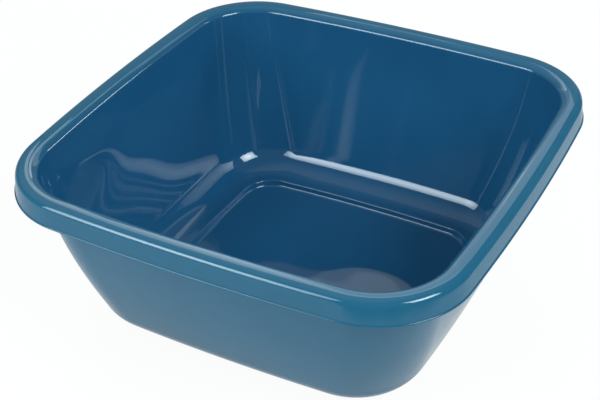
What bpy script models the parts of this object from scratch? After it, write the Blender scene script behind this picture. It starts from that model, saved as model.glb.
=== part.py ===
"""Square plastic basin, moulded in one piece.

Metres, +Z up. The origin is the middle of the flat base that the basin stands on, and
+X and +Y point at the middles of two of its four equal sides.

The basin is one shell. Its section has two faces: the top face runs from the skirt's bead up
and over the crown of the rim, then down inside the wall to the floor; the under face runs one
wall's thickness behind it. Each point of the section is swept round the basin as a level: a
square with bowed sides and round corners.
"""
from collections import namedtuple
from math import atan2, cos, pi, radians, sin, sqrt, tan

import bmesh
import bpy

# Overall sizes
RIM_WIDTH = 0.380
HEIGHT = 0.1533
WALL = 0.0022

# The rim's outline, seen from above, at its widest
RIM_CORNER_RADIUS = 0.0746
RIM_BOW_RADIUS = 2.07

# The rim's section
CROWN_RADIUS = 0.0187
CROWN_HALF_ANGLE = radians(12.6)
OUTER_EDGE_RADIUS = 0.0035
INNER_EDGE_RADIUS = 0.0070
SKIRT_DEPTH = 0.0187
SKIRT_DRAFT = radians(9.2)
BEAD_PROJECTION = 0.0008
BEAD_HEIGHT = 0.0014
BEAD_LOWER_RADIUS = 0.0003

# The wall's lean from upright at its top and at its foot, and the curve there down to a flat ring
WALL_TOP_LEAN = radians(6.9)
WALL_FOOT_LEAN = radians(19.53)
FOOT_RADIUS = 0.0306
FOOT_CORNER_RADIUS = 0.0299
FOOT_BOW_RADIUS = 1.82
RING_WIDTH = 0.0057

# The sunk middle of the floor, which is the base that the basin stands on
BASE_CORNER_RADIUS = 0.0271
BASE_BOW_RADIUS = 1.55
BASE_DROP = 0.0057
STEP_DRAFT = radians(14.0)
STEP_UPPER_RADIUS = 0.0012
STEP_LOWER_RADIUS = 0.0026
STEP_UNDER_RADIUS = 0.0008

# Straight pieces that stand for each curve
SIDE_STEPS = 6
CORNER_STEPS = 9
CROWN_STEPS = 4
EDGE_STEPS = 4
WALL_STEPS = 5
FOOT_STEPS = 6
BEAD_STEPS = 3
STEP_STEPS = 3

# The petrol blue of the moulded polypropylene
BASIN_COLOUR = (0.010, 0.105, 0.205, 1.0)
BASIN_ROUGHNESS = 0.12

UPRIGHT = pi / 2
SIDES = 4

Outline = namedtuple("Outline", "half_width corner_radius bow_radius")
Level = namedtuple("Level", "outline height")
Point = namedtuple("Point", "across height")

RIM = Outline(RIM_WIDTH / 2, RIM_CORNER_RADIUS, RIM_BOW_RADIUS)


def inset(outline, distance):
    """The outline that runs inside another, the same distance from it all round."""
    return Outline(*(size - distance for size in outline))


def moved_to(outline, across):
    """The outline parallel to another that has a given half width."""
    return inset(outline, outline.half_width - across)


def spread(start, end, steps):
    """Evenly spaced values from start to end, both included."""
    return [start + (end - start) * step / steps for step in range(steps + 1)]


def outline_points(outline):
    """Points of one outline, counterclockwise: four bowed sides joined by round corners."""
    half, corner, bow = outline
    bow_centre = half - bow
    reach = bow - corner
    corner_centre = (bow_centre + sqrt(2 * reach ** 2 - bow_centre ** 2)) / 2
    side_angle = atan2(corner_centre, corner_centre - bow_centre)
    quarter = []
    for angle in spread(-side_angle, side_angle, SIDE_STEPS)[:-1]:
        quarter.append((bow_centre + bow * cos(angle), bow * sin(angle)))
    for angle in spread(side_angle, UPRIGHT - side_angle, CORNER_STEPS)[:-1]:
        quarter.append((corner_centre + corner * cos(angle), corner_centre + corner * sin(angle)))
    points = []
    for side in range(SIDES):
        turn = side * UPRIGHT
        for x, y in quarter:
            points.append((x * cos(turn) - y * sin(turn), x * sin(turn) + y * cos(turn)))
    return points


def rim_arcs():
    """Centres of the rim's three arcs: outer edge, crown and inner edge.

    Each is a Point whose across is the distance inside the rim's widest outline.
    """
    outer_arm = CROWN_RADIUS - OUTER_EDGE_RADIUS
    inner_arm = CROWN_RADIUS - INNER_EDGE_RADIUS
    crown_height = HEIGHT - CROWN_RADIUS
    outer_height = crown_height + outer_arm * cos(CROWN_HALF_ANGLE)
    skirt_top = outer_height + OUTER_EDGE_RADIUS * sin(SKIRT_DRAFT)
    bead_top = HEIGHT - SKIRT_DEPTH + BEAD_HEIGHT
    skirt_inset = BEAD_PROJECTION + (skirt_top - bead_top) * tan(SKIRT_DRAFT)
    outer = Point(skirt_inset + OUTER_EDGE_RADIUS * cos(SKIRT_DRAFT), outer_height)
    crown = Point(outer.across + outer_arm * sin(CROWN_HALF_ANGLE), crown_height)
    inner = Point(crown.across + inner_arm * sin(CROWN_HALF_ANGLE),
                  crown_height + inner_arm * cos(CROWN_HALF_ANGLE))
    return outer, crown, inner


def rim_level(distance, height):
    """A level of the rim, at a distance inside its widest outline."""
    return Level(inset(RIM, distance), height)


def rim_arc(centre, radius, start, end, steps):
    """Levels along an arc of the rim; a tilt of zero is its top, and more faces inward."""
    return [rim_level(centre.across + radius * sin(tilt), centre.height + radius * cos(tilt))
            for tilt in spread(start, end, steps)]


def bead_levels():
    """The bead along the skirt's lower edge, from its underside up to the skirt."""
    bottom = HEIGHT - SKIRT_DEPTH
    lower = [rim_level(BEAD_LOWER_RADIUS, bottom), rim_level(0.0, bottom + BEAD_LOWER_RADIUS)]
    centre_height = bottom + BEAD_HEIGHT - BEAD_PROJECTION
    upper = [rim_level(BEAD_PROJECTION * (1 - cos(angle)), centre_height + BEAD_PROJECTION * sin(angle))
             for angle in spread(0.0, UPRIGHT, BEAD_STEPS)]
    return lower + upper


def wall_arcs():
    """Centre and radius of the wall's under face, and the centre of its foot curve.

    The wall is one arc. It leaves the rim at its top lean and runs smoothly into the foot.
    """
    edge = rim_arcs()[2]
    edge_radius = INNER_EDGE_RADIUS - WALL
    top = Point(RIM.half_width - edge.across - edge_radius * cos(WALL_TOP_LEAN),
                edge.height + edge_radius * sin(WALL_TOP_LEAN))
    foot_height = BASE_DROP + FOOT_RADIUS
    drop = top.height - foot_height + FOOT_RADIUS * sin(WALL_FOOT_LEAN)
    radius = drop / (sin(WALL_FOOT_LEAN) - sin(WALL_TOP_LEAN))
    wall = Point(top.across - radius * cos(WALL_TOP_LEAN), top.height + radius * sin(WALL_TOP_LEAN))
    foot = Point(wall.across + (radius - FOOT_RADIUS) * cos(WALL_FOOT_LEAN), foot_height)
    return wall, radius, foot


def foot_outline(across):
    """The outline of the foot's curve at a half width."""
    return moved_to(Outline(wall_arcs()[2].across, FOOT_CORNER_RADIUS, FOOT_BOW_RADIUS), across)


def base_outline():
    """The base's outline, where the step's inner face would meet the floor without its curve."""
    return Outline(wall_arcs()[2].across - RING_WIDTH, BASE_CORNER_RADIUS, BASE_BOW_RADIUS)


def foot_arc(radius, start, end):
    """Levels along the curve at the wall's foot, by the surface's lean from upright."""
    centre = wall_arcs()[2]
    return [Level(foot_outline(centre.across + radius * cos(lean)), centre.height - radius * sin(lean))
            for lean in spread(start, end, FOOT_STEPS)]


def wall_level(lean, inward):
    """A level of the wall where it leans so far from upright, moved inward from its under face."""
    centre, radius, foot = wall_arcs()
    share = (sin(WALL_FOOT_LEAN) - sin(lean)) / (sin(WALL_FOOT_LEAN) - sin(WALL_TOP_LEAN))
    across = centre.across + radius * cos(lean)
    lowest = foot_outline(foot.across + FOOT_RADIUS * cos(WALL_FOOT_LEAN))
    highest = moved_to(RIM, centre.across + radius * cos(WALL_TOP_LEAN))
    corner = lowest.corner_radius + (highest.corner_radius - lowest.corner_radius) * share
    bow = lowest.bow_radius + (highest.bow_radius - lowest.bow_radius) * share
    outline = inset(Outline(across, corner, bow), inward * cos(lean))
    return Level(outline, centre.height - (radius - inward) * sin(lean))


def wall_face(inward, start, end):
    """Levels of one face of the wall, between two leans."""
    return [wall_level(lean, inward) for lean in spread(start, end, WALL_STEPS)]


def beside_step(height, outward):
    """Where a line that runs outside the step's inner face, parallel to it, is at a height."""
    rise = height - WALL
    across = base_outline().half_width + rise * tan(STEP_DRAFT) + outward / cos(STEP_DRAFT)
    return Point(across, height)


def step_arc(centre, radius, start, end):
    """Levels along one of the step's arcs; a tilt of zero is level with the base."""
    base = base_outline()
    return [Level(moved_to(base, centre.across + radius * sin(tilt)), centre.height - radius * cos(tilt))
            for tilt in spread(start, end, STEP_STEPS)]


def top_face():
    """Levels of the face that shows from above, from the skirt's bead to the floor."""
    outer, crown, inner = rim_arcs()
    upper = beside_step(BASE_DROP + WALL - STEP_UPPER_RADIUS, STEP_UPPER_RADIUS)
    lower = beside_step(WALL + STEP_LOWER_RADIUS, -STEP_LOWER_RADIUS)
    levels = bead_levels()
    levels += rim_arc(outer, OUTER_EDGE_RADIUS, SKIRT_DRAFT - UPRIGHT, -CROWN_HALF_ANGLE, EDGE_STEPS)
    levels += rim_arc(crown, CROWN_RADIUS, -CROWN_HALF_ANGLE, CROWN_HALF_ANGLE, CROWN_STEPS)[1:]
    levels += rim_arc(inner, INNER_EDGE_RADIUS, CROWN_HALF_ANGLE, UPRIGHT - WALL_TOP_LEAN, EDGE_STEPS)[1:]
    levels += wall_face(WALL, WALL_TOP_LEAN, WALL_FOOT_LEAN)[1:]
    levels += foot_arc(FOOT_RADIUS - WALL, WALL_FOOT_LEAN, UPRIGHT)[1:]
    levels += step_arc(upper, -STEP_UPPER_RADIUS, 0.0, UPRIGHT - STEP_DRAFT)
    levels += step_arc(lower, STEP_LOWER_RADIUS, UPRIGHT - STEP_DRAFT, 0.0)
    return levels


def under_face():
    """Levels of the face behind, from the base's underside to the bottom of the skirt."""
    outer, crown, inner = rim_arcs()
    lower = beside_step(WALL + STEP_LOWER_RADIUS, -STEP_LOWER_RADIUS)
    corner = beside_step(BASE_DROP - STEP_UNDER_RADIUS, WALL + STEP_UNDER_RADIUS)
    levels = step_arc(lower, STEP_LOWER_RADIUS + WALL, 0.0, UPRIGHT - STEP_DRAFT)
    levels += step_arc(corner, -STEP_UNDER_RADIUS, UPRIGHT - STEP_DRAFT, 0.0)
    levels += foot_arc(FOOT_RADIUS, UPRIGHT, WALL_FOOT_LEAN)
    levels += wall_face(0.0, WALL_FOOT_LEAN, WALL_TOP_LEAN)[1:]
    inner_radius = INNER_EDGE_RADIUS - WALL
    levels += rim_arc(inner, inner_radius, UPRIGHT - WALL_TOP_LEAN, CROWN_HALF_ANGLE, EDGE_STEPS)[1:]
    levels += rim_arc(crown, CROWN_RADIUS - WALL, CROWN_HALF_ANGLE, -CROWN_HALF_ANGLE, CROWN_STEPS)[1:]
    levels += rim_arc(outer, OUTER_EDGE_RADIUS - WALL, -CROWN_HALF_ANGLE, SKIRT_DRAFT - UPRIGHT, 1)[1:]
    levels.append(rim_level(BEAD_PROJECTION + WALL, HEIGHT - SKIRT_DEPTH))
    return levels


def build_shell(name, material):
    """The closed shell: its levels bridged in turn, with the floor closed on both faces."""
    mesh = bpy.data.meshes.new(name)
    shell = bmesh.new()
    loops = []
    for outline, height in under_face() + top_face():
        loops.append([shell.verts.new((x, y, height)) for x, y in outline_points(outline)])
    for lower, upper in zip(loops, loops[1:]):
        for index in range(len(lower)):
            after = (index + 1) % len(lower)
            shell.faces.new((lower[index], lower[after], upper[after], upper[index]))
    shell.faces.new(list(reversed(loops[0])))
    shell.faces.new(loops[-1])
    bmesh.ops.recalc_face_normals(shell, faces=shell.faces)
    shell.to_mesh(mesh)
    shell.free()
    mesh.shade_smooth()
    mesh.set_sharp_from_angle(angle=radians(30.0))
    mesh.materials.append(material)
    basin = bpy.data.objects.new(name, mesh)
    bpy.context.scene.collection.objects.link(basin)
    return basin


def basin_material():
    """Glossy polypropylene, coloured through."""
    material = bpy.data.materials.new("basin_polypropylene")
    material.use_nodes = True
    shader = material.node_tree.nodes["Principled BSDF"]
    shader.inputs["Base Color"].default_value = BASIN_COLOUR
    shader.inputs["Roughness"].default_value = BASIN_ROUGHNESS
    shader.inputs["Metallic"].default_value = 0.0
    return material


def clear_scene():
    """Remove whatever objects the open file holds."""
    for thing in list(bpy.data.objects):
        bpy.data.objects.remove(thing)


clear_scene()
build_shell("basin", basin_material())
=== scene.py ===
from collections import namedtuple
from math import atan2, cos, exp, pi, radians, sin, sqrt, tan

import bpy
from mathutils import Matrix, Vector, noise


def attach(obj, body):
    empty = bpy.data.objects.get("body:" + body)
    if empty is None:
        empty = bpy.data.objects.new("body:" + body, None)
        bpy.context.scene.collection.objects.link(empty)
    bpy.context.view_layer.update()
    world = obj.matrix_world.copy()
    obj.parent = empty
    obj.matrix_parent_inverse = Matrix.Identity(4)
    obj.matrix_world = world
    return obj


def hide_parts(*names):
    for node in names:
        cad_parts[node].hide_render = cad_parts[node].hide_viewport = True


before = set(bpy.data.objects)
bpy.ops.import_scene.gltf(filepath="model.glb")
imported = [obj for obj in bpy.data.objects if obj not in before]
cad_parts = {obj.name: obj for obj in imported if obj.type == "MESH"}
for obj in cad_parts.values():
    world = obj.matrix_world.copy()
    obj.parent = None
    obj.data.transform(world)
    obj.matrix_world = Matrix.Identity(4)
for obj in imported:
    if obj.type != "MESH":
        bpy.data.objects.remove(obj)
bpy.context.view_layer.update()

Outline = namedtuple("Outline", "half_width corner_radius bow_radius")
Level = namedtuple("Level", "outline height")
Point = namedtuple("Point", "across height")
Swelling = namedtuple("Swelling", "place spread_by push")
Softbox = namedtuple("Softbox", "name azimuth elevation distance width height radiance edge_share")

# Overall sizes of the basin, in metres
RIM_WIDTH = 0.380
HEIGHT = 0.1533
WALL = 0.0022

# The rim's outline, seen from above, at its widest
RIM_CORNER_RADIUS = 0.0746
RIM_BOW_RADIUS = 2.07
RIM = Outline(RIM_WIDTH / 2, RIM_CORNER_RADIUS, RIM_BOW_RADIUS)

# The rim's section: inside the bowl the crown turns into a soft shoulder and then a tighter edge
CROWN_RADIUS = 0.0187
CROWN_HALF_ANGLE = radians(11.0)
OUTER_EDGE_RADIUS = 0.0050
SHOULDER_RADIUS = 0.0100
SHOULDER_TILT = radians(50.0)
INNER_EDGE_RADIUS = 0.0040
SKIRT_DEPTH = 0.0187
SKIRT_DRAFT = radians(6.5)
BEAD_PROJECTION = 0.0008
BEAD_HEIGHT = 0.0014
BEAD_LOWER_RADIUS = 0.0003

# The wall's lean from upright at its top and at its foot, and the curve there down to a flat ring
WALL_TOP_LEAN = radians(6.14)
WALL_FOOT_LEAN = radians(19.53)
FOOT_RADIUS = 0.0306
FOOT_CORNER_RADIUS = 0.0299
FOOT_BOW_RADIUS = 1.82
RING_WIDTH = 0.0057

# The sunk middle of the floor
BASE_CORNER_RADIUS = 0.0271
BASE_BOW_RADIUS = 1.55
BASE_DROP = 0.0057
STEP_DRAFT = radians(14.0)
STEP_UPPER_RADIUS = 0.0012
STEP_LOWER_RADIUS = 0.0026
STEP_UNDER_RADIUS = 0.0008

# The thin floor isn't quite flat: a low swelling, and faint ripples over all of it
FLOOR_SWELL = 0.0022
FLOOR_SWELL_PLACE = (0.060, 0.050)
FLOOR_SWELL_SPREAD = (0.055, 0.035)
FLOOR_RIPPLE = 0.00012
FLOOR_RIPPLE_SIZE = 0.035

# The thin walls aren't quite even either: broad ripples all round, and a few low swellings
WALL_RIPPLE = 0.00035
WALL_RIPPLE_SIZE = 0.060
WALL_RIPPLE_START = Vector((0.3, 0.7, 0.1))
WALL_SWELLS = (
    Swelling((-0.16, -0.075, 0.122), (0.05, 0.050, 0.024), -0.0026),
    Swelling((-0.16, 0.010, 0.095), (0.05, 0.050, 0.025), -0.0009),
    Swelling((-0.16, 0.085, 0.022), (0.05, 0.030, 0.020), 0.0005),
)

# The walls are uneven between two heights, and only inside the rim and the skirt, which are wider
WALL_SWELL_FROM = 0.016
WALL_SWELL_TO = 0.147
WALL_SWELL_HALF_WIDTH = 0.1755

# How late the unevenness of the floor and the walls fades out towards their ends
SWELL_FADE_POWER = 4

# Straight pieces that stand for each curve; a side has an even number, and so a point at its middle
SIDE_STEPS = 46
CORNER_STEPS = 32
CROWN_STEPS = 12
EDGE_STEPS = 16
SHOULDER_STEPS = 10
INNER_STEPS = 8
WALL_STEPS = 42
FOOT_STEPS = 22
BEAD_STEPS = 5
STEP_STEPS = 8
FLOOR_RINGS = 28

# Edges that turn by more than this stay sharp
SHARP_ANGLE = radians(35.0)

# The basin's plastic, painted a little darker and bluer in the bowl than outside, as painted shade for
# the dimmer, bluer light inside the bowl
OUTER_COLOUR = (0.0120, 0.104, 0.175, 1.0)
BOWL_SHADE_COLOUR = (0.0115, 0.086, 0.183, 1.0)
BOWL_SHADE_SHARE = "bowl_shade_share"
REFRACTIVE_INDEX = 1.58
GLOSS_TINT = (0.92, 0.99, 1.0, 1.0)

# Its unevenness: each noise's cycles per metre, detail and roughness, and the range that it fills
PIGMENT_NOISE = (16.0, 4.0, 0.6)
PIGMENT_RANGE = (0.95, 1.05)
ROUGHNESS_NOISE = (9.0, 3.0, 0.5)
ROUGHNESS_RANGE = (0.035, 0.060)

# The values between which nearly all of a noise lies
NOISE_SPAN = (0.3, 0.7)

# The floor, which just misses the base that stands at height zero
WHITE = (1.0, 1.0, 1.0, 1.0)
FLOOR_WIDTH = 8.0
FLOOR_HEIGHT = -0.0002
FLOOR_COLOUR = (0.92, 0.92, 0.92, 1.0)
FLOOR_ROUGHNESS = 0.9
FLOOR_GLOW_SHARE = 0.94

# What gloss shows of the floor, where the camera sees plain white, and the colour of tent and cards
GLOSS_WHITE = 0.69
GLOSS_FLOOR_COLOUR = (0.93, 1.0, 1.02, 1.0)
GLOSS_COLOUR = (0.90, 1.0, 1.10, 1.0)

# The tent, which turns from dark to pale between two cosines of the angle from its pale side
TENT_RADIUS = 3.0
TENT_STEPS = 48
TENT_RINGS = 12
TENT_DARK = 0.18
TENT_PALE = 0.60
TENT_PALE_SIDE = (115.0, 60.0)
TENT_TURN = (0.75, 0.98)

# The lamps round the rim's middle: angles in degrees, lengths in metres, and a radiance of 1 is white
SOFTBOXES = (
    Softbox("key", 30.0, 26.5, 1.6, 1.05, 0.95, 10.0, 0.4),
    Softbox("side", -77.0, 37.0, 1.6, 0.77, 0.80, 15.0, 0.5),
    Softbox("strip", -138.0, 18.0, 0.95, 0.24, 0.22, 12.0, 1.0),
    Softbox("back", 152.0, 26.5, 2.2, 1.35, 1.85, 2.6, 0.55),
)
SOFTBOX_COLOUR = (0.91, 1.0, 1.08)

# Each dims to its edge's share between two distances from its middle, as shares of its size
SOFTBOX_MIDDLE = (0.5, 0.5, 0.0)
SOFTBOX_FADE = (0.1, 0.5)

# A bent strip of card, from the middle of the far right corner to a little before the near left one
CARD_LEVELS = (0.32, 0.32)
CARD_FADE = (0.0, 1.0)
CARD_BOTTOM = 0.150
CARD_STEPS_SHORT = 6
CARD_FIRST = SIDE_STEPS + CORNER_STEPS // 2
CARD_LAST = 3 * SIDE_STEPS + 2 * CORNER_STEPS - CARD_STEPS_SHORT
CARD_DISTANCE = 0.012

# Its top edge, as heights at shares of its length
CARD_TOPS = (
    (0.0, 0.188), (0.22, 0.188), (0.28, 0.174), (0.42, 0.174),
    (0.62, 0.270), (0.84, 0.270), (0.90, 0.205), (1.0, 0.205),
)

# The other cards; a level goes from its first value to its second between the heights of its fade
SCREEN_COURSE = (
    (0.04, -0.51), (0.10, -0.45), (0.185, -0.425), (0.28, -0.393), (0.39, -0.297),
    (0.46, -0.12), (0.42, 0.05), (0.36, 0.15), (0.31, 0.30), (0.27, 0.60),
)
SCREEN_HEIGHTS = (0.0, 0.310)
SCREEN_LEVELS = (0.67, 0.10)
SCREEN_FADE = (0.002, 0.030)
REFLECTOR_CORNERS = (
    (-0.26, 0.35, 0.160), (-0.065, 0.35, 0.160), (-0.065, 0.35, 0.470), (-0.11, 0.35, 0.470),
)
REFLECTOR_LEVELS = (0.5, 1.25)
REFLECTOR_FADE = (0.160, 0.300)
FAR_REFLECTOR_COURSE = ((-0.45, 1.0), (0.05, 1.0))
FAR_REFLECTOR_HEIGHTS = (0.175, 1.147)
FAR_REFLECTOR_FADE = (0.175, 0.614)
FAR_REFLECTOR_SOFT_END = (-0.45, -0.40)
BACKING_COURSE = ((-0.25, 0.240), (0.12, 0.240))
BACKING_HEIGHTS = (0.150, 0.228)
BACKING_LEVELS = (0.50, 0.75)
BACKING_FADE = (0.150, 0.228)

# The camera, fitted to the photograph
CAMERA_AZIMUTH = radians(30.499)
CAMERA_ELEVATION = radians(34.951)
CAMERA_ROLL = radians(-2.359)
CAMERA_DISTANCE = 1.08332
CAMERA_ASIDE = (-0.04136, 0.00247)
CAMERA_TARGET_HEIGHT = 0.07524
FOCAL_PIXELS = 1313.33
CENTRE_PIXELS = (-42.24, 2.31)
PHOTO_WIDTH = 600
SENSOR_WIDTH = 36.0

UPRIGHT = pi / 2
SIDES = 4


# Meshes

def put_in_scene(name, data):
    """A new object in the scene that shows some data."""
    thing = bpy.data.objects.new(name, data)
    bpy.context.scene.collection.objects.link(thing)
    return thing


def new_mesh(name, points, faces):
    """A mesh of points and faces."""
    mesh = bpy.data.meshes.new(name)
    mesh.from_pydata(points, [], faces)
    return mesh


def band_faces(rings, steps):
    """Faces that join closed rings of points, each to the next."""
    faces = []
    for ring in range(rings - 1):
        for step in range(steps):
            after = (step + 1) % steps
            faces.append((ring * steps + step, ring * steps + after,
                          (ring + 1) * steps + after, (ring + 1) * steps + step))
    return faces


def fan_faces(first, steps, middle):
    """Faces from a closed ring, of which the first point is given, to a point in its middle."""
    return [(first + step, first + (step + 1) % steps, middle) for step in range(steps)]


def strip_faces(count):
    """Faces between two open rows of points, with as many points in each."""
    return [(step, step + 1, count + step + 1, count + step) for step in range(count - 1)]


# The basin's shape

def inset(outline, distance):
    """The outline that runs inside another, the same distance from it all round."""
    return Outline(*(size - distance for size in outline))


def moved_to(outline, across):
    """The outline parallel to another that has a given half width."""
    return inset(outline, outline.half_width - across)


def spread(start, end, steps):
    """Evenly spaced values from start to end, both included."""
    return [start + (end - start) * step / steps for step in range(steps + 1)]


def outline_course(outline):
    """Points of one outline, counterclockwise, each with the bearing that the outline faces there.

    Four bowed sides are joined by round corners.
    """
    half, corner, bow = outline
    bow_centre = half - bow
    reach = bow - corner
    corner_centre = (bow_centre + sqrt(2 * reach ** 2 - bow_centre ** 2)) / 2
    side_angle = atan2(corner_centre, corner_centre - bow_centre)
    quarter = []
    for angle in spread(-side_angle, side_angle, SIDE_STEPS)[:-1]:
        quarter.append((bow_centre + bow * cos(angle), bow * sin(angle), angle))
    for angle in spread(side_angle, UPRIGHT - side_angle, CORNER_STEPS)[:-1]:
        x = corner_centre + corner * cos(angle)
        y = corner_centre + corner * sin(angle)
        quarter.append((x, y, angle))
    points = []
    for side in range(SIDES):
        turn = side * UPRIGHT
        for x, y, facing in quarter:
            points.append((x * cos(turn) - y * sin(turn), x * sin(turn) + y * cos(turn), facing + turn))
    return points


def tighter_arc(centre, radius, tighter, tilt):
    """Centre of a tighter arc that goes on smoothly from another where it has a tilt."""
    arm = radius - tighter
    return Point(centre.across + arm * sin(tilt), centre.height + arm * cos(tilt))


def rim_arcs():
    """Centres of the rim's four arcs: outer edge, crown, shoulder and inner edge."""
    outer_arm = CROWN_RADIUS - OUTER_EDGE_RADIUS
    crown_height = HEIGHT - CROWN_RADIUS
    outer_height = crown_height + outer_arm * cos(CROWN_HALF_ANGLE)
    skirt_top = outer_height + OUTER_EDGE_RADIUS * sin(SKIRT_DRAFT)
    bead_top = HEIGHT - SKIRT_DEPTH + BEAD_HEIGHT
    skirt_inset = BEAD_PROJECTION + (skirt_top - bead_top) * tan(SKIRT_DRAFT)
    outer = Point(skirt_inset + OUTER_EDGE_RADIUS * cos(SKIRT_DRAFT), outer_height)
    crown = Point(outer.across + outer_arm * sin(CROWN_HALF_ANGLE), crown_height)
    shoulder = tighter_arc(crown, CROWN_RADIUS, SHOULDER_RADIUS, CROWN_HALF_ANGLE)
    inner = tighter_arc(shoulder, SHOULDER_RADIUS, INNER_EDGE_RADIUS, SHOULDER_TILT)
    return outer, crown, shoulder, inner


def rim_level(distance, height):
    """A level of the rim, at a distance inside its widest outline."""
    return Level(inset(RIM, distance), height)


def rim_arc(centre, radius, start, end, steps):
    """Levels along an arc of the rim; a tilt of zero is its top, and more faces inward."""
    return [rim_level(centre.across + radius * sin(tilt), centre.height + radius * cos(tilt))
            for tilt in spread(start, end, steps)]


def bead_levels():
    """The bead along the skirt's lower edge, from its underside up to the skirt."""
    bottom = HEIGHT - SKIRT_DEPTH
    lower = [rim_level(BEAD_LOWER_RADIUS, bottom), rim_level(0.0, bottom + BEAD_LOWER_RADIUS)]
    centre_height = bottom + BEAD_HEIGHT - BEAD_PROJECTION
    upper = [rim_level(BEAD_PROJECTION * (1 - cos(angle)), centre_height + BEAD_PROJECTION * sin(angle))
             for angle in spread(0.0, UPRIGHT, BEAD_STEPS)]
    return lower + upper


def wall_arcs():
    """Centre and radius of the wall's under face, and the centre of its foot curve.

    The wall is one arc. It leaves the rim at its top lean and runs smoothly into the foot.
    """
    edge = rim_arcs()[-1]
    edge_radius = INNER_EDGE_RADIUS - WALL
    top = Point(RIM.half_width - edge.across - edge_radius * cos(WALL_TOP_LEAN),
                edge.height + edge_radius * sin(WALL_TOP_LEAN))
    foot_height = BASE_DROP + FOOT_RADIUS
    drop = top.height - foot_height + FOOT_RADIUS * sin(WALL_FOOT_LEAN)
    radius = drop / (sin(WALL_FOOT_LEAN) - sin(WALL_TOP_LEAN))
    wall = Point(top.across - radius * cos(WALL_TOP_LEAN), top.height + radius * sin(WALL_TOP_LEAN))
    foot = Point(wall.across + (radius - FOOT_RADIUS) * cos(WALL_FOOT_LEAN), foot_height)
    return wall, radius, foot


def foot_outline(across):
    """The outline of the foot's curve at a half width."""
    return moved_to(Outline(wall_arcs()[2].across, FOOT_CORNER_RADIUS, FOOT_BOW_RADIUS), across)


def base_outline():
    """The base's outline, where the step's inner face would meet the floor without its curve."""
    return Outline(wall_arcs()[2].across - RING_WIDTH, BASE_CORNER_RADIUS, BASE_BOW_RADIUS)


def foot_arc(radius, start, end):
    """Levels along the curve at the wall's foot, by the surface's lean from upright."""
    centre = wall_arcs()[2]
    return [Level(foot_outline(centre.across + radius * cos(lean)), centre.height - radius * sin(lean))
            for lean in spread(start, end, FOOT_STEPS)]


def wall_level(lean, inward):
    """A level of the wall where it leans so far from upright, moved inward from its under face."""
    centre, radius, foot = wall_arcs()
    share = (sin(WALL_FOOT_LEAN) - sin(lean)) / (sin(WALL_FOOT_LEAN) - sin(WALL_TOP_LEAN))
    across = centre.across + radius * cos(lean)
    lowest = foot_outline(foot.across + FOOT_RADIUS * cos(WALL_FOOT_LEAN))
    highest = moved_to(RIM, centre.across + radius * cos(WALL_TOP_LEAN))
    corner = lowest.corner_radius + (highest.corner_radius - lowest.corner_radius) * share
    bow = lowest.bow_radius + (highest.bow_radius - lowest.bow_radius) * share
    outline = inset(Outline(across, corner, bow), inward * cos(lean))
    return Level(outline, centre.height - (radius - inward) * sin(lean))


def wall_face(inward, start, end):
    """Levels of one face of the wall, between two leans."""
    return [wall_level(lean, inward) for lean in spread(start, end, WALL_STEPS)]


def beside_step(height, outward):
    """Where a line that runs outside the step's inner face, parallel to it, is at a height."""
    rise = height - WALL
    across = base_outline().half_width + rise * tan(STEP_DRAFT) + outward / cos(STEP_DRAFT)
    return Point(across, height)


def step_arc(centre, radius, start, end):
    """Levels along one of the step's arcs; a tilt of zero is level with the base."""
    base = base_outline()
    return [Level(moved_to(base, centre.across + radius * sin(tilt)), centre.height - radius * cos(tilt))
            for tilt in spread(start, end, STEP_STEPS)]


def top_face():
    """Levels of the face that shows from above, from the skirt's bead to the floor."""
    outer, crown, shoulder, inner = rim_arcs()
    inner_end = UPRIGHT - WALL_TOP_LEAN
    upper = beside_step(BASE_DROP + WALL - STEP_UPPER_RADIUS, STEP_UPPER_RADIUS)
    lower = beside_step(WALL + STEP_LOWER_RADIUS, -STEP_LOWER_RADIUS)
    levels = bead_levels()
    levels += rim_arc(outer, OUTER_EDGE_RADIUS, SKIRT_DRAFT - UPRIGHT, -CROWN_HALF_ANGLE, EDGE_STEPS)
    levels += rim_arc(crown, CROWN_RADIUS, -CROWN_HALF_ANGLE, CROWN_HALF_ANGLE, CROWN_STEPS)[1:]
    levels += rim_arc(shoulder, SHOULDER_RADIUS, CROWN_HALF_ANGLE, SHOULDER_TILT, SHOULDER_STEPS)[1:]
    levels += rim_arc(inner, INNER_EDGE_RADIUS, SHOULDER_TILT, inner_end, INNER_STEPS)[1:]
    levels += wall_face(WALL, WALL_TOP_LEAN, WALL_FOOT_LEAN)[1:]
    levels += foot_arc(FOOT_RADIUS - WALL, WALL_FOOT_LEAN, UPRIGHT)[1:]
    levels += step_arc(upper, -STEP_UPPER_RADIUS, 0.0, UPRIGHT - STEP_DRAFT)
    levels += step_arc(lower, STEP_LOWER_RADIUS, UPRIGHT - STEP_DRAFT, 0.0)
    return levels


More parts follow.
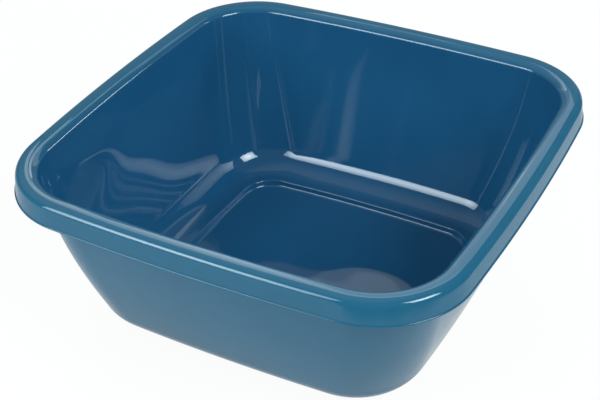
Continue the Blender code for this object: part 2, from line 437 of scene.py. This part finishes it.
def under_face():
    """Levels of the face behind, from the base's underside to the bottom of the skirt."""
    outer, crown, shoulder, inner = rim_arcs()
    inner_end = UPRIGHT - WALL_TOP_LEAN
    outer_end = SKIRT_DRAFT - UPRIGHT
    lower = beside_step(WALL + STEP_LOWER_RADIUS, -STEP_LOWER_RADIUS)
    corner = beside_step(BASE_DROP - STEP_UNDER_RADIUS, WALL + STEP_UNDER_RADIUS)
    levels = step_arc(lower, STEP_LOWER_RADIUS + WALL, 0.0, UPRIGHT - STEP_DRAFT)
    levels += step_arc(corner, -STEP_UNDER_RADIUS, UPRIGHT - STEP_DRAFT, 0.0)
    levels += foot_arc(FOOT_RADIUS, UPRIGHT, WALL_FOOT_LEAN)
    levels += wall_face(0.0, WALL_FOOT_LEAN, WALL_TOP_LEAN)[1:]
    for centre, radius, start, end, steps in (
            (inner, INNER_EDGE_RADIUS, inner_end, SHOULDER_TILT, INNER_STEPS),
            (shoulder, SHOULDER_RADIUS, SHOULDER_TILT, CROWN_HALF_ANGLE, SHOULDER_STEPS),
            (crown, CROWN_RADIUS, CROWN_HALF_ANGLE, -CROWN_HALF_ANGLE, CROWN_STEPS),
            (outer, OUTER_EDGE_RADIUS, -CROWN_HALF_ANGLE, outer_end, BEAD_STEPS)):
        levels += rim_arc(centre, radius - WALL, start, end, steps)[1:]
    levels.append(rim_level(BEAD_PROJECTION + WALL, HEIGHT - SKIRT_DEPTH))
    return levels


def floor_rings(level):
    """Ever smaller copies of the floor's edge, so that the flat middle has points as well."""
    return [Level(Outline(*(size * share for size in level.outline)), level.height)
            for share in spread(1.0, 1.0 / FLOOR_RINGS, FLOOR_RINGS - 1)]


def uneven(place, size):
    """Smooth unevenness between about -1 and 1, in bumps of about a size."""
    return noise.noise(place / size)


def wall_swell(x, y, height):
    """How far the thin wall stands outward at a place; it fades out towards its foot and its top."""
    share = (height - WALL_SWELL_FROM) / (WALL_SWELL_TO - WALL_SWELL_FROM)
    if not 0.0 < share < 1.0:
        return 0.0
    fade = 1.0 - (2 * share - 1) ** SWELL_FADE_POWER
    swell = WALL_RIPPLE * uneven(Vector((x, y, height)) + WALL_RIPPLE_START, WALL_RIPPLE_SIZE)
    for place, spread_by, push in WALL_SWELLS:
        offset = [(a - b) / c for a, b, c in zip((x, y, height), place, spread_by)]
        swell += push * exp(-sum(part ** 2 for part in offset))
    return fade * swell


def floor_swell(x, y):
    """How far the thin floor has swelled upward at a place, which fades out towards its edge."""
    half = base_outline().half_width
    fade = max(0.0, 1.0 - (max(abs(x), abs(y)) / half) ** SWELL_FADE_POWER)
    along = (x - FLOOR_SWELL_PLACE[0]) / FLOOR_SWELL_SPREAD[0]
    aside = (y - FLOOR_SWELL_PLACE[1]) / FLOOR_SWELL_SPREAD[1]
    swell = FLOOR_SWELL * exp(-along ** 2 - aside ** 2)
    ripple = FLOOR_RIPPLE * (1 + uneven(Vector((x, y, 0.0)), FLOOR_RIPPLE_SIZE))
    return fade * (swell + ripple)


def basin_points(levels):
    """The outlines of all levels in turn, with the unevenness of the floor and the walls."""
    points = []
    for index, (outline, height) in enumerate(levels):
        flat = index < FLOOR_RINGS or index >= len(levels) - FLOOR_RINGS
        for x, y, facing in outline_course(outline):
            if flat:
                points.append((x, y, height + floor_swell(x, y)))
            else:
                push = wall_swell(x, y, height) if outline.half_width < WALL_SWELL_HALF_WIDTH else 0.0
                points.append((x + push * cos(facing), y + push * sin(facing), height))
    return points


def bowl_shade_shares(under, top):
    """How far each level of the mesh is inside the bowl, and so takes the bowl's painted shade: 0
    outside and on the rim, 1 on the wall.
    """
    rim_steps = len(bead_levels()) + EDGE_STEPS + 1 + CROWN_STEPS
    edge = spread(0.0, 1.0, SHOULDER_STEPS + INNER_STEPS)[1:]
    inside = len(top) - 1 - rim_steps - len(edge)
    return [0.0] * (FLOOR_RINGS + len(under) - 1 + rim_steps) + edge + [1.0] * (inside + FLOOR_RINGS)


def build_basin():
    """The basin as one closed smooth mesh.

    Its levels run from the underside's smallest ring round the skirt to the floor's smallest ring.
    The last two points are the middles of the underside and of the floor.
    """
    under = under_face()
    top = top_face()
    levels = list(reversed(floor_rings(under[0]))) + under[1:] + top[:-1] + floor_rings(top[-1])
    points = basin_points(levels)
    around = len(points) // len(levels)
    last = len(points) - around
    faces = band_faces(len(levels), around)
    faces += [(after, before, middle) for before, after, middle in fan_faces(0, around, len(points))]
    faces += fan_faces(last, around, len(points) + 1)
    points += [(0.0, 0.0, level.height + floor_swell(0.0, 0.0)) for level in (levels[0], levels[-1])]
    mesh = new_mesh("basin_moulding", points, faces)
    mesh.validate()
    mesh.shade_smooth()
    mesh.set_sharp_from_angle(angle=SHARP_ANGLE)
    # Each point's share of the painted shade in the bowl, which the basin's material reads
    shares = [share for share in bowl_shade_shares(under, top) for point in range(around)] + [0.0, 1.0]
    mesh.attributes.new(BOWL_SHADE_SHARE, "FLOAT", "POINT").data.foreach_set("value", shares)
    return put_in_scene("basin_moulding", mesh)


# Materials

def new_material(name):
    """A node material, with its node tree and its shader."""
    material = bpy.data.materials.new(name)
    material.use_nodes = True
    tree = material.node_tree
    return material, tree, tree.nodes["Principled BSDF"]


def glow_material(name):
    """A material that only glows and isn't sampled as a lamp, with its node tree and its glow."""
    material, tree, shader = new_material(name)
    tree.nodes.remove(shader)
    glow = tree.nodes.new("ShaderNodeEmission")
    glow.inputs["Color"].default_value = GLOSS_COLOUR
    material.cycles.emission_sampling = "NONE"
    return material, tree, glow


def noise_texture(tree, place, scale, detail, roughness):
    """A noise texture read at a place, in cycles per metre."""
    node = tree.nodes.new("ShaderNodeTexNoise")
    node.inputs["Scale"].default_value = scale
    node.inputs["Detail"].default_value = detail
    node.inputs["Roughness"].default_value = roughness
    tree.links.new(place, node.inputs["Vector"])
    return node.outputs["Fac"]


def mapped(tree, value, low, high, source=NOISE_SPAN):
    """A value moved from one range to another."""
    node = tree.nodes.new("ShaderNodeMapRange")
    node.inputs["From Min"].default_value = source[0]
    node.inputs["From Max"].default_value = source[1]
    node.inputs["To Min"].default_value = low
    node.inputs["To Max"].default_value = high
    tree.links.new(value, node.inputs["Value"])
    return node.outputs["Result"]


def basin_material():
    """Glossy coloured polypropylene, whose pigment and gloss are both faintly uneven, and which is
    painted darker and bluer in the bowl as painted shade.
    """
    material, tree, shader = new_material("basin_polypropylene")
    place = tree.nodes.new("ShaderNodeTexCoord").outputs["Object"]
    share = tree.nodes.new("ShaderNodeAttribute")
    share.attribute_name = BOWL_SHADE_SHARE
    # Painted shade: the colour turns from the outer one to the darker, bluer bowl colour by each point's
    # share
    colour = tree.nodes.new("ShaderNodeMix")
    colour.data_type = "RGBA"
    colour.inputs["A"].default_value = OUTER_COLOUR
    colour.inputs["B"].default_value = BOWL_SHADE_COLOUR
    tree.links.new(share.outputs["Fac"], colour.inputs["Factor"])
    pigment = tree.nodes.new("ShaderNodeVectorMath")
    pigment.operation = "SCALE"
    tree.links.new(colour.outputs["Result"], pigment.inputs[0])
    strength = mapped(tree, noise_texture(tree, place, *PIGMENT_NOISE), *PIGMENT_RANGE)
    tree.links.new(strength, pigment.inputs["Scale"])
    tree.links.new(pigment.outputs[0], shader.inputs["Base Color"])
    shader.inputs["IOR"].default_value = REFRACTIVE_INDEX
    shader.inputs["Specular Tint"].default_value = GLOSS_TINT
    roughness = mapped(tree, noise_texture(tree, place, *ROUGHNESS_NOISE), *ROUGHNESS_RANGE)
    tree.links.new(roughness, shader.inputs["Roughness"])
    return material


def floor_material():
    """White studio floor, which shows white but keeps the basin's shadow."""
    material, tree, shader = new_material("studio_floor")
    shader.inputs["Base Color"].default_value = FLOOR_COLOUR
    shader.inputs["Roughness"].default_value = FLOOR_ROUGHNESS
    shader.inputs["Specular IOR Level"].default_value = 0.0
    rays = tree.nodes.new("ShaderNodeLightPath")
    glow = tree.nodes.new("ShaderNodeEmission")
    tint = tree.nodes.new("ShaderNodeMix")
    tint.data_type = "RGBA"
    tint.inputs["A"].default_value = GLOSS_FLOOR_COLOUR
    tint.inputs["B"].default_value = WHITE
    tree.links.new(rays.outputs["Is Camera Ray"], tint.inputs["Factor"])
    tree.links.new(tint.outputs["Result"], glow.inputs["Color"])
    level = mapped(tree, rays.outputs["Is Camera Ray"], GLOSS_WHITE, 1.0, source=(0.0, 1.0))
    tree.links.new(level, glow.inputs["Strength"])
    share = tree.nodes.new("ShaderNodeMath")
    share.operation = "MULTIPLY"
    share.inputs[1].default_value = FLOOR_GLOW_SHARE
    tree.links.new(seen_ray(tree, rays), share.inputs[0])
    mix = tree.nodes.new("ShaderNodeMixShader")
    tree.links.new(share.outputs[0], mix.inputs["Fac"])
    tree.links.new(shader.outputs[0], mix.inputs[1])
    tree.links.new(glow.outputs[0], mix.inputs[2])
    tree.links.new(mix.outputs[0], tree.nodes["Material Output"].inputs["Surface"])
    return material


def seen_ray(tree, rays):
    """1 for a ray from the camera, or one that gloss or glass sends on, and 0 for others."""
    total = rays.outputs["Is Camera Ray"]
    for name in ("Is Glossy Ray", "Is Transmission Ray"):
        most = tree.nodes.new("ShaderNodeMath")
        most.operation = "MAXIMUM"
        tree.links.new(total, most.inputs[0])
        tree.links.new(rays.outputs[name], most.inputs[1])
        total = most.outputs[0]
    return total


def tent_material():
    """Dim grey cloth of the tent round the set, paler on one side."""
    material, tree, glow = glow_material("studio_tent")
    place = tree.nodes.new("ShaderNodeTexCoord").outputs["Object"]
    towards = tree.nodes.new("ShaderNodeVectorMath")
    towards.operation = "DOT_PRODUCT"
    towards.inputs[1].default_value = direction(*TENT_PALE_SIDE) / TENT_RADIUS
    tree.links.new(place, towards.inputs[0])
    level = mapped(tree, towards.outputs["Value"], TENT_DARK, TENT_PALE, source=TENT_TURN)
    tree.links.new(level, glow.inputs["Strength"])
    tree.links.new(glow.outputs[0], tree.nodes["Material Output"].inputs["Surface"])
    return material


def card_material(name, levels, fade, soft_end):
    """Card that glows from one level at its foot to another above.

    Towards a soft end, between two places along X, it thins out to nothing.
    """
    material, tree, glow = glow_material(name)
    parts = tree.nodes.new("ShaderNodeSeparateXYZ")
    tree.links.new(tree.nodes.new("ShaderNodeTexCoord").outputs["Object"], parts.inputs[0])
    tree.links.new(mapped(tree, parts.outputs["Z"], *levels, source=fade), glow.inputs["Strength"])
    surface = glow.outputs[0]
    if soft_end:
        clear = tree.nodes.new("ShaderNodeBsdfTransparent")
        mix = tree.nodes.new("ShaderNodeMixShader")
        tree.links.new(mapped(tree, parts.outputs["X"], 0.0, 1.0, source=soft_end), mix.inputs["Fac"])
        tree.links.new(clear.outputs[0], mix.inputs[1])
        tree.links.new(surface, mix.inputs[2])
        surface = mix.outputs[0]
    tree.links.new(surface, tree.nodes["Material Output"].inputs["Surface"])
    return material


# The studio

def plane(name, width, depth, place):
    """A flat rectangle that lies level."""
    half_w, half_d = width / 2, depth / 2
    corners = [(-half_w, -half_d, 0), (half_w, -half_d, 0), (half_w, half_d, 0), (-half_w, half_d, 0)]
    thing = put_in_scene(name, new_mesh(name, corners, [(0, 1, 2, 3)]))
    thing.location = place
    return thing


def direction(azimuth, elevation):
    """A unit vector at a bearing from -Y towards -X, and at an elevation, in degrees."""
    a, e = radians(azimuth), radians(elevation)
    return Vector((-sin(a) * cos(e), -cos(a) * cos(e), sin(e)))


def build_softbox(box):
    """A rectangular softbox, which dims towards its edges as one with a single bulb does."""
    light = bpy.data.lights.new(box.name, "AREA")
    light.shape = "RECTANGLE"
    light.size = box.width
    light.size_y = box.height
    light.energy = box.radiance * pi * box.width * box.height
    light.color = SOFTBOX_COLOUR
    light.use_nodes = True
    tree = light.node_tree
    offset = tree.nodes.new("ShaderNodeVectorMath")
    offset.operation = "DISTANCE"
    offset.inputs[1].default_value = SOFTBOX_MIDDLE
    tree.links.new(tree.nodes.new("ShaderNodeNewGeometry").outputs["Parametric"], offset.inputs[0])
    level = mapped(tree, offset.outputs["Value"], 1.0, box.edge_share, source=SOFTBOX_FADE)
    tree.links.new(level, tree.nodes["Emission"].inputs["Strength"])
    lamp = put_in_scene(box.name, light)
    lamp.visible_camera = False
    middle = Vector((0.0, 0.0, HEIGHT))
    lamp.location = middle + direction(box.azimuth, box.elevation) * box.distance
    lamp.rotation_euler = (middle - lamp.location).to_track_quat("-Z", "Y").to_euler()


def build_tent():
    """A dim dome of cloth, open to the camera, that keeps the white room out of the gloss."""
    points = []
    for ring in range(TENT_RINGS):
        for step in range(TENT_STEPS):
            bearing = direction(step * 360 / TENT_STEPS, ring * 90 / TENT_RINGS)
            points.append(bearing * TENT_RADIUS)
    faces = band_faces(TENT_RINGS, TENT_STEPS)
    faces += fan_faces(len(points) - TENT_STEPS, TENT_STEPS, len(points))
    points.append(Vector((0.0, 0.0, TENT_RADIUS)))
    tent = put_in_scene("tent", new_mesh("tent", points, faces))
    tent.visible_camera = False
    tent.data.materials.append(tent_material())


def hang_card(name, points, faces, levels, fade, soft_end=None):
    """Put up a card that only gloss shows, and that keeps no light out."""
    card = put_in_scene(name, new_mesh(name, points, faces))
    card.visible_camera = False
    card.visible_diffuse = False
    card.visible_shadow = False
    card.data.materials.append(card_material("studio_" + name, levels, fade, soft_end))


def stand_card(name, course, heights, levels, fade, soft_end=None):
    """A card that stands upright along a course on the floor, between two heights."""
    points = [(x, y, height) for height in heights for x, y in course]
    hang_card(name, points, strip_faces(len(course)), levels, fade, soft_end)


def between(course, place):
    """The value of a course of (place, value) pairs at a place."""
    for (start, low), (end, high) in zip(course, course[1:]):
        if place <= end:
            return low + (high - low) * (place - start) / (end - start)
    return course[-1][1]


def build_card():
    """A bent strip of card close behind the far and left sides, for a dark edge against white."""
    last = CARD_LAST - CARD_FIRST
    course = outline_course(inset(RIM, -CARD_DISTANCE))[CARD_FIRST:CARD_LAST + 1]
    points = [(x, y, CARD_BOTTOM) for x, y, facing in course]
    points += [(x, y, between(CARD_TOPS, step / last)) for step, (x, y, facing) in enumerate(course)]
    hang_card("card", points, strip_faces(len(course)), CARD_LEVELS, CARD_FADE)


def build_world():
    """White room, of which only the camera sees anything past the tent."""
    world = bpy.data.worlds.new("studio")
    world.use_nodes = True
    bpy.context.scene.world = world
    background = world.node_tree.nodes["Background"]
    background.inputs["Color"].default_value = WHITE
    background.inputs["Strength"].default_value = 1.0


def build_camera():
    """The camera at the photograph's place, with its roll and its off-centre crop."""
    az, el, roll = CAMERA_AZIMUTH, CAMERA_ELEVATION, CAMERA_ROLL
    back = Vector((sin(az) * cos(el), -cos(az) * cos(el), sin(el)))
    level_right = Vector((cos(az), sin(az), 0.0))
    level_up = back.cross(level_right)
    right = level_right * cos(roll) + level_up * sin(roll)
    up = level_up * cos(roll) - level_right * sin(roll)
    place = Vector((0.0, 0.0, CAMERA_TARGET_HEIGHT)) + back * CAMERA_DISTANCE
    place += right * CAMERA_ASIDE[0] + up * CAMERA_ASIDE[1]
    data = bpy.data.cameras.new("camera")
    data.sensor_width = SENSOR_WIDTH
    data.lens = FOCAL_PIXELS * SENSOR_WIDTH / PHOTO_WIDTH
    data.shift_x = -CENTRE_PIXELS[0] / PHOTO_WIDTH
    data.shift_y = CENTRE_PIXELS[1] / PHOTO_WIDTH
    camera = put_in_scene("camera", data)
    camera.matrix_world = Matrix((right, up, back)).transposed().to_4x4()
    camera.location = place
    bpy.context.scene.camera = camera


# Everything put together

basin = build_basin()
basin.data.materials.append(basin_material())
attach(basin, "root")
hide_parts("basin")

floor = plane("floor", FLOOR_WIDTH, FLOOR_WIDTH, (0.0, 0.0, FLOOR_HEIGHT))
floor.data.materials.append(floor_material())

build_tent()
build_world()
build_camera()
for softbox in SOFTBOXES:
    build_softbox(softbox)
build_card()
stand_card("screen", SCREEN_COURSE, SCREEN_HEIGHTS, SCREEN_LEVELS, SCREEN_FADE)
hang_card("reflector", REFLECTOR_CORNERS, [(0, 1, 2, 3)], REFLECTOR_LEVELS, REFLECTOR_FADE)
stand_card("far_reflector", FAR_REFLECTOR_COURSE, FAR_REFLECTOR_HEIGHTS, REFLECTOR_LEVELS,
           FAR_REFLECTOR_FADE, FAR_REFLECTOR_SOFT_END)
stand_card("backing", BACKING_COURSE, BACKING_HEIGHTS, BACKING_LEVELS, BACKING_FADE)

bpy.context.scene.view_settings.view_transform = "Standard"
